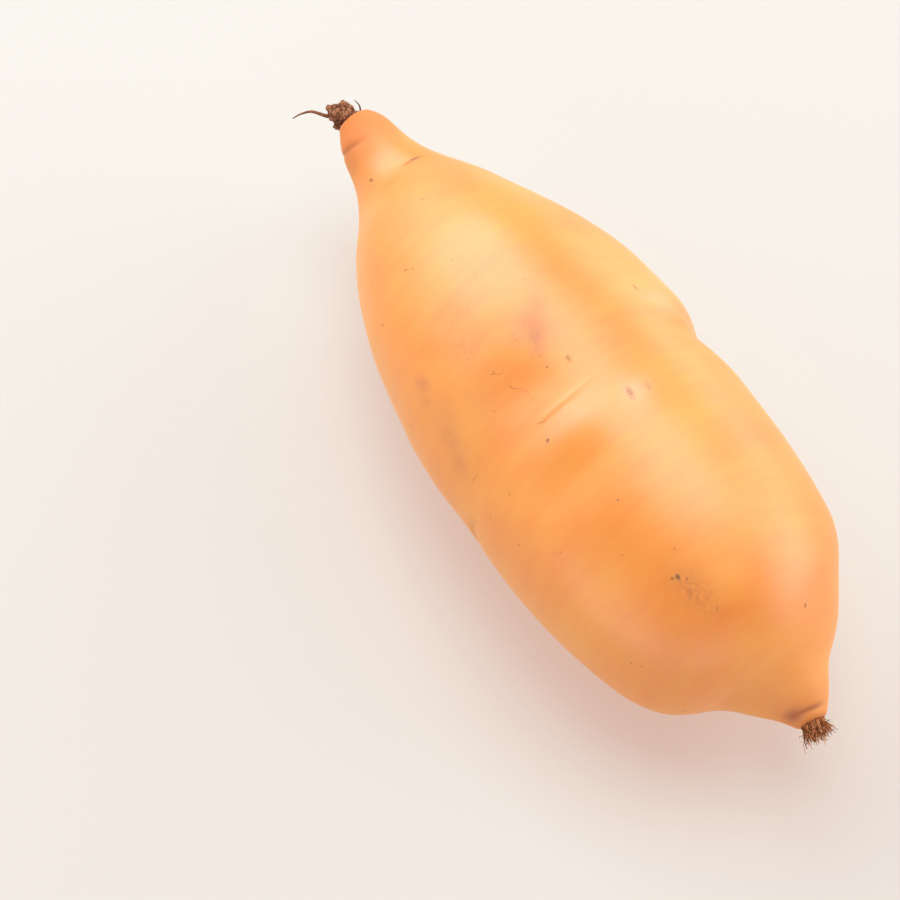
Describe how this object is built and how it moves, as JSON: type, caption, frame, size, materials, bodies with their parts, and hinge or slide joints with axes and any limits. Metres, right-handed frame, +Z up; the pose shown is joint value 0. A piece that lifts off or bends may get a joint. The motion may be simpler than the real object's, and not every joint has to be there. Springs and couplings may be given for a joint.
{
  "type": "sweet potato",
  "caption": "Sweet potato lying on its belly: a plump orange storage root with slim necks, a corky stub of vine at one end and a frayed root at the other.",
  "frame": {"origin": "centre of the small flat of the belly that the root rests on, straight under its centre of mass", "axes": "+X along the root from the vine end towards the tail end, +Z up, +Y across"},
  "size_m": [0.1947, 0.0686, 0.0631],
  "materials": {
    "skin": "thin satin skin of a washed orange sweet potato, with small brown lenticels, scurf marks and fine creases",
    "cork": "dry crumbly corky tissue of the old vine, matt brown",
    "fibre": "dry frayed root fibres, matt dark brown to tan"
  },
  "bodies": {
    "root": {"tuber": "skin", "stem_stub": "cork", "root_tuft": "fibre"}
  },
  "joints": []
}
